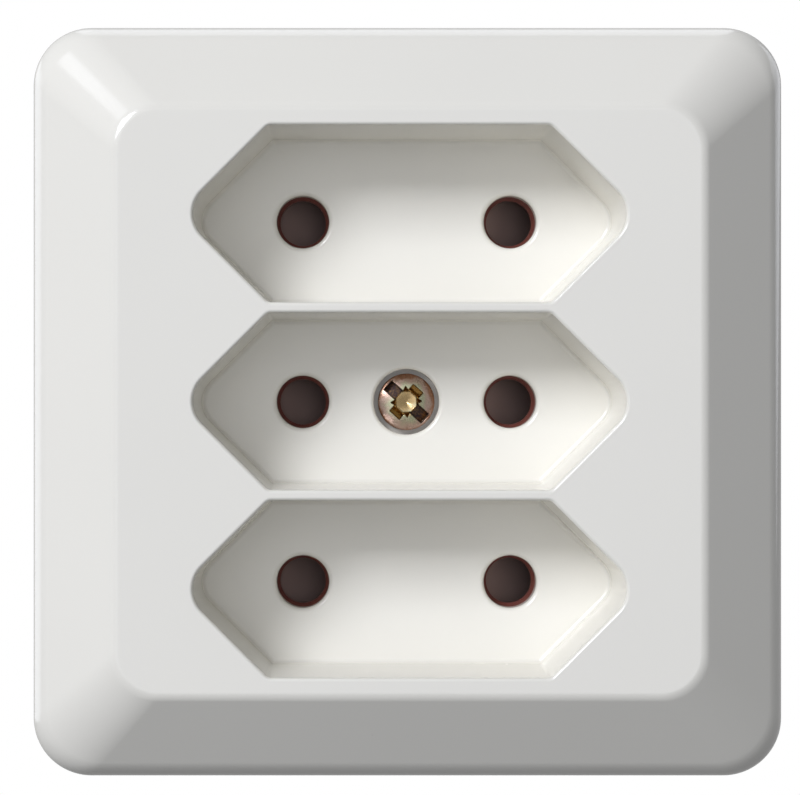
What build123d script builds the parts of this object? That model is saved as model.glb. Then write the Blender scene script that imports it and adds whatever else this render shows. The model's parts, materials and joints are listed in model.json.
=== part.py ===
from build123d import *
from math import cos, radians, sqrt, tan
import os

os.makedirs("parts", exist_ok=True)

# A surface-mounted socket with three flat two-pin outlets, one above the other.
# X is to the right seen from the front, Y goes into the wall and Z is up. The origin is
# the middle of the back, in the wall's plane. Every level below is a distance from the
# wall towards the front, in millimetres.

# Cover, outside
cover_width = 68.0
total_depth = 34.0
plateau_width = 51.7
bevel_drop = 6.4
rim_corner = 5.2
plateau_corner = 3.4
rim_fillet = 2.5
plateau_fillet = 1.9
side_draft = 1.0
skirt_gap = 0.4

# Cover, walls
cover_wall = 2.0
face_thickness = 2.2
cup_wall = 1.6
floor_thickness = 1.8

# Plug wells, measured at the plateau
well_pitch = 16.5
well_depth = 11.0
well_height = 15.58
well_flat = 24.87
well_tip_radius = 2.8
well_corner_radius = 0.8
well_draft = 1.8
well_lip = 0.42
well_floor_fillet = 0.3

# Pins of the plug and the holes that take them
pin_spacing = 19.0
pin_diameter = 4.0
pin_hole = 4.8
pin_mouth_fillet = 0.45
entry_hole = 4.2
entry_mouth = 5.3

# Cover screw, its seat and its insert
screw_hole = 6.0
screw_mouth_fillet = 0.4
screw_seat_depth = 2.2
screw_boss = 8.4
screw_head = 5.05
screw_head_edge = 1.35
screw_dome = 0.6
screw_thread = 2.95
screw_end_room = 1.85
screw_tip = 0.6
screw_passage = 3.4
slot_angle = -42.0
long_slot_length = 4.6
long_slot_width = 1.08
cross_slot_length = 3.3
cross_slot_width = 1.2
slot_depth = 0.9
pit_diameter = 2.05
pit_sides = 8
pit_depth = 0.72
pit_cone_depth = 0.34
pit_tip = 0.2
pit_ledge = 0.1
insert_outer = 4.4
insert_length = 6.0
insert_groove = 0.35
insert_groove_width = 1.2

# Clearances
thread_gap = 0.05
press_gap = 0.05
plate_gap = 0.1
slide_gap = 0.2
contact_gap = 0.1
base_fit = 0.3
pin_clearance = 0.2
tolerance = 0.01

# Base plate
base_thickness = 3.0
base_rim_wall = 1.2
base_rim_height = 4.0
base_rim_break = 17.0
wall_screw_margin = 5.5
wall_screw_hole = 4.5
entry_width = 7.0
entry_length = 13.0
entry_screw_gap = 12.0
knockout_width = 12.0
knockout_height = 10.0
knockout_web = 0.8
score_width = 0.4
score_depth = 0.3
centre_boss = 7.6
centre_boss_room = 1.4
post_diameter = 6.0
post_height = 5.0
bus_rib_width = 1.0
back_recess_depth = 0.8
back_recess_margin = 3.0

# Contact block and the plate in front of it
block_end_wall = 1.8
block_height = 49.2
block_corner = 1.5
plate_margin = 1.0
plate_thickness = 1.4
channel_wall = 1.2
wing_height = 14.0
wing_floor = 1.0
wing_wall = 0.8
wing_rise = 6.0
block_screw_head = 5.0
block_screw_thread = 2.8
block_screw_grip = 1.85
block_screw_head_height = 1.8
block_screw_recess = 4.6
plate_screw_margin = 4.5
plate_screw_head = 3.8
plate_screw_thread = 2.0
plate_screw_length = 6.0
countersink_angle = 90.0

# Shutters: a ladder of two rails with two ramps between them
ramp_overlap = 0.3
ramp_land = 0.6
ramp_toe = 0.6
shutter_thickness = 5.2
rail_offset = 2.9
rail_width = 1.8
rail_thickness = 2.2
end_bar = 1.5
peg_diameter = 2.4
peg_length = 2.2

# Shutter springs
spring_diameter = 4.0
spring_wire = 0.45
spring_coils = 5

# Contacts
strip_thickness = 0.8
strip_front_room = 0.6
strip_overhang = 4.0
clip_thickness = 0.5
clip_back_room = 2.2
clip_base_half = 3.0
clip_mouth_half = 2.6
clip_pinch_half = 1.85
clip_bend = 1.2
rivet_shank = 1.6
rivet_head = 2.6
rivet_head_height = 0.5
tongue_width = 5.0

# Terminals
terminal_room = 1.5
terminal_width = 7.0
terminal_length = 7.0
terminal_depth = 8.0
terminal_wall = 1.1
terminal_screw_head = 5.6
terminal_screw_head_height = 1.9
terminal_screw_thread = 3.4
terminal_screw_reach = 4.6
driver_slot_width = 0.9
driver_slot_depth = 1.0

# Levels that follow from the sizes above
rim_level = total_depth - bevel_drop
floor_front = total_depth - well_depth
floor_back = floor_front - floor_thickness
plate_front = floor_back - plate_gap
plate_back = plate_front - plate_thickness
shutter_front = plate_back - slide_gap
shutter_back = shutter_front - shutter_thickness
channel_floor = shutter_back - slide_gap
chamber_top = channel_floor - channel_wall
clip_front = chamber_top - contact_gap
clip_back = base_thickness + clip_back_room
clip_depth = clip_front - clip_back
screw_seat = floor_front - screw_seat_depth
boss_back = plate_back + plate_gap
bevel_slope = 2 * bevel_drop / (cover_width - plateau_width)
draft_rise = tan(radians(side_draft))

# Places of the outlets, pins and fixings
outlet_heights = [well_pitch, 0.0, -well_pitch]
outlet_names = ["upper", "middle", "lower"]
pin_half = pin_spacing / 2
side_names = ["left", "right"]
side_signs = [-1, 1]
post_height_offset = well_pitch / 2
ramp_half = pin_hole / 2 + ramp_overlap
travel = ramp_half + pin_diameter / 2 + pin_clearance
bus_inner = pin_half + clip_base_half + clip_thickness - press_gap
bus_outer = bus_inner + strip_thickness
rim_half = cover_width / 2
inner_half = rim_half - cover_wall
terminal_offset = inner_half - terminal_room - terminal_width / 2
block_width = 2 * (terminal_offset - terminal_width / 2)
plate_width = block_width - 2 * plate_margin
plate_screw_spread = plate_width - 2 * plate_screw_margin
wall_screw_spacing = 2 * (inner_half - wall_screw_margin)
entry_drop = wall_screw_spacing / 2 - entry_screw_gap
spring_length = block_width / 2 - block_end_wall - pin_half - ramp_half
centre_boss_height = chamber_top - centre_boss_room - base_thickness
screw_length = screw_seat + press_gap - base_thickness - screw_end_room
block_screw_level = plate_back - block_screw_recess + press_gap
block_screw_length = block_screw_level - base_thickness - post_height + block_screw_grip
strip_back = clip_back
strip_depth = clip_depth - strip_front_room
strip_front = strip_back + strip_depth


def level(distance):
    """The plane parallel to the wall at a distance from it, seen from the front."""
    return Plane.XZ.offset(distance)


def edges_at(part, distance):
    """The part's edges that lie whole at a level."""
    return part.edges().filter_by_position(Axis.Y, -distance - tolerance, -distance + tolerance)


def circles_at(part, distance, radius):
    """The part's round edges of a radius at a level."""
    round_edges = edges_at(part, distance).filter_by(GeomType.CIRCLE)
    return round_edges.filter_by(lambda edge: abs(edge.radius - radius) < tolerance)


def hood(bottom, rim, top, rim_half, corner, top_half, top_corner):
    """A square skirt with a slight draft and a bevelled top, from a bottom level to a top level."""
    widening = (rim - bottom) * draft_rise
    with BuildPart() as shape:
        with BuildSketch(level(bottom)):
            side = 2 * (rim_half + widening)
            RectangleRounded(side, side, corner + widening)
        extrude(amount=rim - bottom, taper=side_draft)
        with BuildSketch(level(rim)):
            RectangleRounded(2 * rim_half, 2 * rim_half, corner)
        with BuildSketch(level(top)):
            RectangleRounded(2 * top_half, 2 * top_half, top_corner)
        loft()
    return shape


def well_outline(grow):
    """One well's outline: flat top and bottom, sides at 45 degrees and rounded tips."""
    shift = grow * tan(radians(45 / 2))
    flat = well_flat / 2 + shift
    high = well_height / 2 + grow
    tip = flat + high
    with BuildSketch() as outline:
        with BuildLine():
            right = Polyline((flat, high), (tip, 0), (flat, -high))
            left = Polyline((-flat, high), (-tip, 0), (-flat, -high))
            Line(right @ 0, left @ 0)
            Line(right @ 1, left @ 1)
        make_face()
        tips = outline.vertices().filter_by(lambda v: abs(v.Y) < high / 2)
        fillet(tips, well_tip_radius + grow)
        corners = outline.vertices().filter_by(lambda v: abs(abs(v.Y) - high) < well_corner_radius)
        fillet(corners, well_corner_radius + grow)
    return outline


def slotted_screw(head, head_height, thread, length, slot_width, slot_deep, head_level):
    """A cheese-head screw whose head seats at a level, with its thread towards the wall."""
    with BuildPart() as screw:
        with BuildSketch(level(head_level)):
            Circle(head / 2)
        extrude(amount=head_height)
        rounded = screw.edges().filter_by(GeomType.CIRCLE).sort_by(Axis.Y)[0]
        fillet(rounded, head_height / 4)
        with BuildSketch(level(head_level)):
            Circle(thread / 2)
        extrude(amount=-length)
        tip = screw.edges().filter_by(GeomType.CIRCLE).sort_by(Axis.Y)[-1]
        chamfer(tip, thread / 6)
        with BuildSketch(level(head_level + head_height)):
            Rectangle(slot_width, 2 * head)
        extrude(amount=-slot_deep, mode=Mode.SUBTRACT)
    return screw


# Cover: one moulding with the skirt, the bevel and the three wells
inner_rim = rim_level + cover_wall * bevel_slope - cover_wall * sqrt(1 + bevel_slope**2)
inner_top = total_depth - face_thickness
inner_top_half = inner_half - (inner_top - inner_rim) / bevel_slope
inner_corner = rim_corner - cover_wall
inner_top_corner = plateau_corner - cover_wall / 2
cavity = hood(0, inner_rim, inner_top, inner_half, inner_corner, inner_top_half, inner_top_corner)
outside = hood(skirt_gap, rim_level, total_depth, rim_half, rim_corner, plateau_width / 2, plateau_corner)
well = well_outline(0)
cup = well_outline(cup_wall)

with BuildPart() as cover:
    add(outside.part)
    plateau_edges = cover.edges().group_by(Axis.Y)[0]
    fillet(plateau_edges, plateau_fillet)
    fillet(edges_at(cover, rim_level), rim_fillet)
    add(cavity.part, mode=Mode.SUBTRACT)

    # cups behind the wells
    with BuildSketch(level(floor_back)):
        with GridLocations(0, well_pitch, 1, 3):
            add(cup.sketch)
    extrude(amount=total_depth - face_thickness / 2 - floor_back)

    # boss behind the middle well, for the screw
    with BuildSketch(level(boss_back)):
        Circle(screw_boss / 2)
    extrude(amount=floor_back - boss_back)

    # the three wells, narrowing towards their floors
    with BuildSketch(level(total_depth)):
        with GridLocations(0, well_pitch, 1, 3):
            add(well.sketch)
    extrude(amount=-well_depth, taper=well_draft, mode=Mode.SUBTRACT)
    plateau = cover.faces().filter_by(Axis.Y).sort_by(Axis.Y)[0]
    lips = [edge for wire in plateau.inner_wires() for edge in wire.edges()]
    fillet(lips, well_lip)
    fillet(edges_at(cover, floor_front), well_floor_fillet)

    # pin holes and the screw's seat, with rounded mouths
    with BuildSketch(level(floor_front)):
        with GridLocations(pin_spacing, well_pitch, 2, 3):
            Circle(pin_hole / 2)
    extrude(amount=-floor_thickness, mode=Mode.SUBTRACT)
    with BuildSketch(level(floor_front)):
        Circle(screw_hole / 2)
    extrude(amount=-screw_seat_depth, mode=Mode.SUBTRACT)
    with BuildSketch(level(floor_front)):
        Circle(screw_passage / 2)
    extrude(amount=boss_back - floor_front, mode=Mode.SUBTRACT)
    fillet(circles_at(cover, floor_front, pin_hole / 2), pin_mouth_fillet)
    fillet(circles_at(cover, floor_front, screw_hole / 2), screw_mouth_fillet)

    # thinned webs that break out for a surface cable, above and below
    web_inside = rim_half + (rim_level - knockout_height) * draft_rise - knockout_web
    for side in side_signs:
        with BuildSketch(Plane.XY.offset(side * web_inside)):
            with Locations((0, -knockout_height / 2)):
                Rectangle(knockout_width, knockout_height)
        extrude(amount=-side * (web_inside - inner_half + cover_wall), mode=Mode.SUBTRACT)

    # score lines round those webs, on the outside
    score_floor = web_inside + knockout_web - score_depth
    for side in side_signs:
        with BuildSketch(Plane.XY.offset(side * score_floor)):
            with Locations((0, -knockout_height / 2)):
                Rectangle(knockout_width, knockout_height)
            with Locations((0, -(knockout_height - score_width) / 2)):
                inside_height = knockout_height - score_width
                Rectangle(knockout_width - 2 * score_width, inside_height, mode=Mode.SUBTRACT)
        extrude(amount=side * cover_wall, mode=Mode.SUBTRACT)

cover.part.label = "cover"
export_step(cover.part, "parts/cover.step")

# Base plate: flat back on the wall, a broken rim inside the skirt, bosses and posts
base_half = inner_half + inner_rim * draft_rise - base_fit
base_corner = inner_corner + inner_rim * draft_rise - base_fit
rim_inside = base_half - base_rim_wall

with BuildPart() as base_plate:
    with BuildSketch(level(0)):
        RectangleRounded(2 * base_half, 2 * base_half, base_corner)
    extrude(amount=base_thickness)

    # rim, broken at the terminals and at the cable webs
    with BuildSketch(level(base_thickness)):
        RectangleRounded(2 * base_half, 2 * base_half, base_corner)
        RectangleRounded(2 * rim_inside, 2 * rim_inside, base_corner - base_rim_wall, mode=Mode.SUBTRACT)
        Rectangle(3 * base_half, base_rim_break, mode=Mode.SUBTRACT)
        Rectangle(base_rim_break, 3 * base_half, mode=Mode.SUBTRACT)
    extrude(amount=base_rim_height)

    # boss for the insert and posts for the block's screws
    with BuildSketch(level(base_thickness)):
        Circle(centre_boss / 2)
    extrude(amount=centre_boss_height)
    with BuildSketch(level(base_thickness)):
        with GridLocations(0, 2 * post_height_offset, 1, 2):
            Circle(post_diameter / 2)
    extrude(amount=post_height)
    with BuildSketch(level(base_thickness + centre_boss_height)):
        Circle(insert_outer / 2 + press_gap)
    extrude(amount=-insert_length, mode=Mode.SUBTRACT)
    with BuildSketch(level(base_thickness + centre_boss_height)):
        Circle(screw_passage / 2)
    extrude(amount=-centre_boss_height, mode=Mode.SUBTRACT)
    with BuildSketch(level(base_thickness + post_height)):
        with GridLocations(0, 2 * post_height_offset, 1, 2):
            Circle(block_screw_thread / 2 + thread_gap)
    extrude(amount=-post_height - base_thickness / 2, mode=Mode.SUBTRACT)

    # ribs that hold the bus bars in the block
    with BuildSketch(level(base_thickness)):
        with GridLocations(2 * bus_inner + strip_thickness, well_pitch, 2, 2):
            Rectangle(bus_rib_width, well_pitch / 2)
    extrude(amount=strip_back - contact_gap - base_thickness)

    # holes for the wall screws and the cable
    with BuildSketch(level(0)):
        with GridLocations(wall_screw_spacing, wall_screw_spacing, 2, 2):
            Circle(wall_screw_hole / 2)
        with Locations((0, -entry_drop)):
            with GridLocations(2 * terminal_offset, 1, 2, 1):
                SlotOverall(entry_length, entry_width, rotation=90)
    extrude(amount=base_thickness, mode=Mode.SUBTRACT)

    # shallow recess in the back, inside a flat margin
    recess = 2 * (wall_screw_spacing / 2 - wall_screw_hole / 2 - back_recess_margin)
    with BuildSketch(level(0)):
        RectangleRounded(recess, recess, base_corner)
        Rectangle(back_recess_margin, recess, mode=Mode.SUBTRACT)
        Rectangle(recess, back_recess_margin, mode=Mode.SUBTRACT)
    extrude(amount=back_recess_depth, mode=Mode.SUBTRACT)

base_plate.part.label = "base_plate"
export_step(base_plate.part, "parts/base_plate.step")

# Contact block: channels for the shutters in front, chambers for the contacts behind
channel_left = spring_length + pin_half + ramp_half
channel_right = pin_half + ramp_half + travel + end_bar + slide_gap
channel_half = rail_offset + rail_width + slide_gap
chamber_inner = pin_half - clip_base_half + contact_gap
chamber_outer = bus_outer + rivet_head_height + contact_gap
chamber_half = clip_base_half + clip_thickness + contact_gap
strip_half = well_pitch + strip_overhang
wing_half = terminal_offset + terminal_width / 2 + contact_gap + wing_wall
terminal_back = base_thickness + wing_floor
spring_level = (shutter_front + shutter_back) / 2
centre_recess = centre_boss / 2 + slide_gap

with BuildPart() as contact_block:
    with BuildSketch(level(base_thickness)) as block_outline:
        Rectangle(block_width, block_height)
        fillet(block_outline.vertices(), block_corner)
    extrude(amount=plate_back - base_thickness)

    # wings that carry the terminals
    with BuildSketch(level(base_thickness)):
        Rectangle(2 * wing_half, wing_height)
    extrude(amount=wing_floor)
    with BuildSketch(level(base_thickness)):
        with GridLocations(2 * wing_half - wing_wall, 1, 2, 1):
            Rectangle(wing_wall, wing_height)
    extrude(amount=wing_rise)

    # shutter channels
    with BuildSketch(level(plate_back)):
        with Locations(((channel_right - channel_left) / 2, 0)):
            with GridLocations(0, well_pitch, 1, 3):
                Rectangle(channel_left + channel_right, 2 * channel_half)
    extrude(amount=channel_floor - plate_back, mode=Mode.SUBTRACT)

    # contact chambers, the slots that link them, and the way out for the tongues
    with BuildSketch(level(base_thickness)):
        for side in side_signs:
            with Locations((side * (chamber_inner + chamber_outer) / 2, 0)):
                with GridLocations(0, well_pitch, 1, 3):
                    Rectangle(chamber_outer - chamber_inner, 2 * chamber_half)
            with Locations((side * (bus_inner + bus_outer) / 2, 0)):
                Rectangle(strip_thickness + 2 * contact_gap, 2 * (strip_half + contact_gap))
    extrude(amount=chamber_top - base_thickness, mode=Mode.SUBTRACT)
    with BuildSketch(level(base_thickness)):
        with GridLocations(bus_outer + block_width / 2, 1, 2, 1):
            Rectangle(block_width / 2 - bus_outer + 2 * terminal_wall, tongue_width + 2 * contact_gap)
    extrude(amount=strip_back + strip_thickness + contact_gap - base_thickness, mode=Mode.SUBTRACT)

    # ways for the plug's pins
    with BuildSketch(level(channel_floor)):
        with GridLocations(pin_spacing, well_pitch, 2, 3):
            Circle(pin_hole / 2)
    extrude(amount=-channel_wall, mode=Mode.SUBTRACT)

    # the cover screw's way, the boss's recess, and the screws that hold the block
    with BuildSketch(level(base_thickness)):
        Circle(centre_recess)
        with GridLocations(0, 2 * post_height_offset, 1, 2):
            Circle(post_diameter / 2 + slide_gap)
    extrude(amount=post_height + slide_gap, mode=Mode.SUBTRACT)
    with BuildSketch(level(base_thickness)):
        Circle(centre_recess)
    extrude(amount=centre_boss_height + slide_gap, mode=Mode.SUBTRACT)
    with BuildSketch(level(base_thickness)):
        Circle(screw_passage / 2)
        with GridLocations(0, 2 * post_height_offset, 1, 2):
            Circle(block_screw_thread / 2 + slide_gap)
    extrude(amount=plate_back - base_thickness, mode=Mode.SUBTRACT)
    with BuildSketch(level(plate_back)):
        with GridLocations(0, 2 * post_height_offset, 1, 2):
            Circle(block_screw_head / 2 + slide_gap)
    extrude(amount=-block_screw_recess, mode=Mode.SUBTRACT)

    # pilot holes for the plate's screws
    with BuildSketch(level(plate_back)):
        with GridLocations(plate_screw_spread, 2 * post_height_offset, 2, 2):
            Circle(plate_screw_thread / 2 + thread_gap)
    extrude(amount=-plate_screw_length, mode=Mode.SUBTRACT)

    # pegs that centre the springs
    with BuildSketch(Plane.YZ.offset(-channel_left)):
        with Locations((-spring_level, 0)):
            with GridLocations(0, well_pitch, 1, 3):
                Circle(peg_diameter / 2)
    extrude(amount=peg_length)

contact_block.part.label = "contact_block"
export_step(contact_block.part, "parts/contact_block.step")

# Entry plate: closes the channels, with a funnel at each pin hole
with BuildPart() as entry_plate:
    with BuildSketch(level(plate_back)):
        RectangleRounded(plate_width, block_height, block_corner)
        with GridLocations(pin_spacing, well_pitch, 2, 3):
            Circle(entry_hole / 2, mode=Mode.SUBTRACT)
        Circle(screw_boss / 2 + slide_gap, mode=Mode.SUBTRACT)
    extrude(amount=plate_thickness)
    chamfer(circles_at(entry_plate, plate_front, entry_hole / 2), (entry_mouth - entry_hole) / 2)
    with Locations(level(plate_front)):
        with GridLocations(plate_screw_spread, 2 * post_height_offset, 2, 2):
            CounterSinkHole(
                plate_screw_thread / 2 + slide_gap / 2,
                plate_screw_head / 2 + slide_gap / 2,
                plate_thickness,
                countersink_angle,
            )

entry_plate.part.label = "entry_plate"
export_step(entry_plate.part, "parts/entry_plate.step")

# Shutters: each slides to the left as two pins push on both of its ramps
shutter_right = pin_half + ramp_half + travel + end_bar
shutter_left = pin_half + ramp_half
rail_centre = rail_offset + rail_width / 2

for name, height in zip(outlet_names, outlet_heights):
    with BuildPart() as shutter:
        # two rails joined by a bar at the right end
        with BuildSketch(level(shutter_back)):
            with Locations(((shutter_right - shutter_left) / 2, height)):
                with GridLocations(0, 2 * rail_centre, 1, 2):
                    Rectangle(shutter_left + shutter_right, rail_width)
            with Locations((shutter_right - end_bar / 2, height)):
                Rectangle(end_bar, 2 * rail_centre)
        extrude(amount=rail_thickness)

        # two ramps, high at their left edge and low at their right
        with BuildSketch(Plane.XY.offset(height)):
            for side in side_signs:
                middle = side * pin_half
                with BuildLine():
                    Polyline(
                        (middle - ramp_half, -shutter_back),
                        (middle - ramp_half, -shutter_front),
                        (middle - ramp_half + ramp_land, -shutter_front),
                        (middle + ramp_half, -shutter_back - ramp_toe),
                        (middle + ramp_half, -shutter_back),
                        close=True,
                    )
                make_face()
        extrude(amount=rail_offset, both=True)

        # peg that centres the spring
        with BuildSketch(Plane.YZ.offset(-shutter_left)):
            with Locations((-spring_level, height)):
                Circle(peg_diameter / 2)
        extrude(amount=-peg_length)

    shutter.part.label = f"{name}_shutter"
    export_step(shutter.part, f"parts/{name}_shutter.step")

# Shutter springs: between the left end of each shutter and the end of its channel
coil_radius = (spring_diameter - spring_wire) / 2
coil_height = spring_length - spring_wire - 2 * press_gap
coil_start = -channel_left + spring_wire / 2 + press_gap

for name, height in zip(outlet_names, outlet_heights):
    with BuildPart() as spring:
        with BuildLine() as coil:
            Helix(
                coil_height / spring_coils,
                coil_height,
                coil_radius,
                center=(coil_start, -spring_level, height),
                direction=(1, 0, 0),
            )
        with BuildSketch(Plane(origin=coil.line @ 0, z_dir=coil.line % 0)):
            Circle(spring_wire / 2)
        sweep()
    spring.part.label = f"{name}_shutter_spring"
    export_step(spring.part, f"parts/{name}_shutter_spring.step")

# Bus bars: a strip on edge past all three outlets, with a tongue bent out to the terminal
tongue_reach = terminal_offset + terminal_width / 2 - terminal_wall

for name, side in zip(side_names, side_signs):
    with BuildPart() as bus_bar:
        with BuildSketch(level(strip_back)):
            with Locations((side * (bus_inner + bus_outer) / 2, 0)):
                Rectangle(strip_thickness, 2 * strip_half)
        extrude(amount=strip_depth)
        with BuildSketch(level(strip_back)):
            with Locations((side * (bus_inner + tongue_reach) / 2, 0)):
                Rectangle(tongue_reach - bus_inner, tongue_width)
        extrude(amount=strip_thickness)
        with BuildSketch(Plane.YZ.offset(side * bus_inner)):
            with Locations((-(strip_back + strip_front) / 2, 0)):
                with GridLocations(0, well_pitch, 1, 3):
                    Circle(rivet_shank / 2 + thread_gap)
        extrude(amount=side * strip_thickness, mode=Mode.SUBTRACT)
    bus_bar.part.label = f"{name}_bus_bar"
    export_step(bus_bar.part, f"parts/{name}_bus_bar.step")

# Contact clips: bent from strip, riveted to the bus bar, with two arms that grip the pin
clip_back_outer = bus_inner - contact_gap / 2
arm_reach = pin_half - clip_base_half

for outlet, height in zip(outlet_names, outlet_heights):
    for name, side in zip(side_names, side_signs):
        with BuildPart() as clip:
            with BuildSketch(level(clip_back)):
                with BuildLine() as centre_line:
                    FilletPolyline(
                        (side * (arm_reach + clip_thickness), height + clip_mouth_half),
                        (side * pin_half, height + clip_pinch_half + clip_thickness / 2),
                        (side * (clip_back_outer - clip_thickness / 2), height + clip_base_half),
                        (side * (clip_back_outer - clip_thickness / 2), height - clip_base_half),
                        (side * pin_half, height - clip_pinch_half - clip_thickness / 2),
                        (side * (arm_reach + clip_thickness), height - clip_mouth_half),
                        radius=clip_bend / 2,
                    )
                trace(centre_line.line, line_width=clip_thickness)
            extrude(amount=clip_depth)
            with BuildSketch(Plane.YZ.offset(side * clip_back_outer)):
                with Locations((-(strip_back + strip_front) / 2, height)):
                    Circle(rivet_shank / 2 + thread_gap)
            extrude(amount=-side * clip_thickness, mode=Mode.SUBTRACT)
        clip.part.label = f"{outlet}_{name}_clip"
        export_step(clip.part, f"parts/{outlet}_{name}_clip.step")

# Clip rivets: six alike, with a head on each side
rivet_inner = clip_back_outer - clip_thickness - press_gap
rivet_outer = bus_outer + press_gap

with BuildPart() as clip_rivets:
    for side in side_signs:
        with BuildSketch(Plane.YZ.offset(side * rivet_inner)):
            with Locations((-(strip_back + strip_front) / 2, 0)):
                with GridLocations(0, well_pitch, 1, 3):
                    Circle(rivet_shank / 2)
        extrude(amount=side * (rivet_outer - rivet_inner))
        with BuildSketch(Plane.YZ.offset(side * rivet_inner)):
            with Locations((-(strip_back + strip_front) / 2, 0)):
                with GridLocations(0, well_pitch, 1, 3):
                    Circle(rivet_head / 2)
        extrude(amount=-side * rivet_head_height)
        with BuildSketch(Plane.YZ.offset(side * rivet_outer)):
            with Locations((-(strip_back + strip_front) / 2, 0)):
                with GridLocations(0, well_pitch, 1, 3):
                    Circle(rivet_head / 2)
        extrude(amount=side * (rivet_head_height - press_gap))

clip_rivets.part.label = "clip_rivets"
export_step(clip_rivets.part, "parts/clip_rivets.step")

# Terminals: a square clamp round the tongue's end, open above and below for the wire
terminal_front = terminal_back + terminal_depth
window_back = strip_back - contact_gap
window_front = terminal_front - terminal_wall
window_half = terminal_width / 2 - terminal_wall

for name, side in zip(side_names, side_signs):
    with BuildPart() as terminal:
        with BuildSketch(level(terminal_back)) as clamp_outline:
            with Locations((side * terminal_offset, 0)):
                Rectangle(terminal_width, terminal_length)
        extrude(amount=terminal_depth)
        chamfer(terminal.edges().filter_by(Axis.Y), terminal_wall / 3)
        with BuildSketch(level(window_back)):
            with Locations((side * terminal_offset, 0)):
                Rectangle(2 * window_half, terminal_length)
        extrude(amount=window_front - window_back, mode=Mode.SUBTRACT)
        with BuildSketch(level(window_back)):
            with Locations((side * (terminal_offset - terminal_width / 2), 0)):
                Rectangle(2 * terminal_wall, tongue_width + 2 * contact_gap)
        extrude(amount=strip_thickness + 2 * contact_gap, mode=Mode.SUBTRACT)
        with BuildSketch(level(window_front)):
            with Locations((side * terminal_offset, 0)):
                Circle(terminal_screw_thread / 2 + thread_gap)
        extrude(amount=terminal_wall, mode=Mode.SUBTRACT)
    terminal.part.label = f"{name}_terminal"
    export_step(terminal.part, f"parts/{name}_terminal.step")

# Fasteners: those alike share one file as separate solids
terminal_screw = slotted_screw(
    terminal_screw_head,
    terminal_screw_head_height,
    terminal_screw_thread,
    terminal_screw_reach,
    driver_slot_width,
    driver_slot_depth,
    terminal_front + press_gap,
)
with BuildPart() as terminal_screws:
    with Locations((terminal_offset, 0, 0), (-terminal_offset, 0, 0)):
        add(terminal_screw.part)

terminal_screws.part.label = "terminal_screws"
export_step(terminal_screws.part, "parts/terminal_screws.step")

block_screw = slotted_screw(
    block_screw_head,
    block_screw_head_height,
    block_screw_thread,
    block_screw_length,
    driver_slot_width,
    driver_slot_depth,
    block_screw_level,
)
with BuildPart() as block_screws:
    with Locations((0, 0, post_height_offset), (0, 0, -post_height_offset)):
        add(block_screw.part)

block_screws.part.label = "block_screws"
export_step(block_screws.part, "parts/block_screws.step")

sink_depth = (plate_screw_head - plate_screw_thread) / 2 / tan(radians(countersink_angle / 2))
with BuildPart() as plate_screw:
    with BuildSketch(level(plate_front - press_gap)):
        Circle(plate_screw_head / 2)
    extrude(amount=-sink_depth, taper=countersink_angle / 2)
    with BuildSketch(level(plate_front - press_gap)):
        Circle(plate_screw_thread / 2)
    extrude(amount=-plate_screw_length)
    with BuildSketch(level(plate_front - press_gap)):
        Rectangle(driver_slot_width / 2, plate_screw_head)
    extrude(amount=-driver_slot_depth / 2, mode=Mode.SUBTRACT)

spread = plate_screw_spread / 2
with BuildPart() as plate_screws:
    with Locations((spread, 0, 0), (-spread, 0, 0)):
        with Locations((0, 0, post_height_offset), (0, 0, -post_height_offset)):
            add(plate_screw.part)

plate_screws.part.label = "plate_screws"
export_step(plate_screws.part, "parts/plate_screws.step")

# Threaded insert: a grooved bush pressed into the base's middle boss
insert_front = base_thickness + centre_boss_height
with BuildPart() as threaded_insert:
    with BuildSketch(level(insert_front)):
        Circle(insert_outer / 2)
        Circle(screw_thread / 2 + thread_gap, mode=Mode.SUBTRACT)
    extrude(amount=-insert_length + press_gap)
    with BuildSketch(level(insert_front - (insert_length - insert_groove_width) / 2)):
        Circle(insert_outer / 2)
        Circle(insert_outer / 2 - insert_groove, mode=Mode.SUBTRACT)
    extrude(amount=-insert_groove_width, mode=Mode.SUBTRACT)

threaded_insert.part.label = "threaded_insert"
export_step(threaded_insert.part, "parts/threaded_insert.step")

# Cover screw: domed head with a long slot, a shorter cross slot and a conical middle
seat = screw_seat + press_gap
head_top = seat + screw_head_edge + screw_dome
head_half = screw_head / 2
thread_half = screw_thread / 2
dome_radius = (head_half**2 + screw_dome**2) / (2 * screw_dome)
dome_middle = head_half / 2
dome_drop = dome_radius - sqrt(dome_radius**2 - dome_middle**2)

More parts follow.
